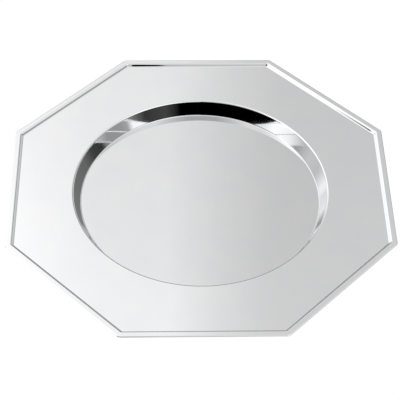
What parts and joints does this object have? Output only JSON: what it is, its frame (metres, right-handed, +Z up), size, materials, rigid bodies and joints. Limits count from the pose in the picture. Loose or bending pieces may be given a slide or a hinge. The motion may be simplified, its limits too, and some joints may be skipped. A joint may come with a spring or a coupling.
{
  "type": "presentation tray",
  "caption": "Flat octagonal serving tray of polished sheet steel with a round pressed well, a wide level rim and a raised hemmed edge.",
  "frame": {"origin": "middle of the underside of the well's floor, the face the tray stands on", "axes": "+Z up out of the well; +X and +Y towards the middles of two neighbouring right-angled sides of the octagon"},
  "size_m": [0.3, 0.3, 0.0145],
  "materials": {
    "polished_steel": "polished"
  },
  "bodies": {
    "root": {"tray": "polished_steel"}
  },
  "joints": []
}
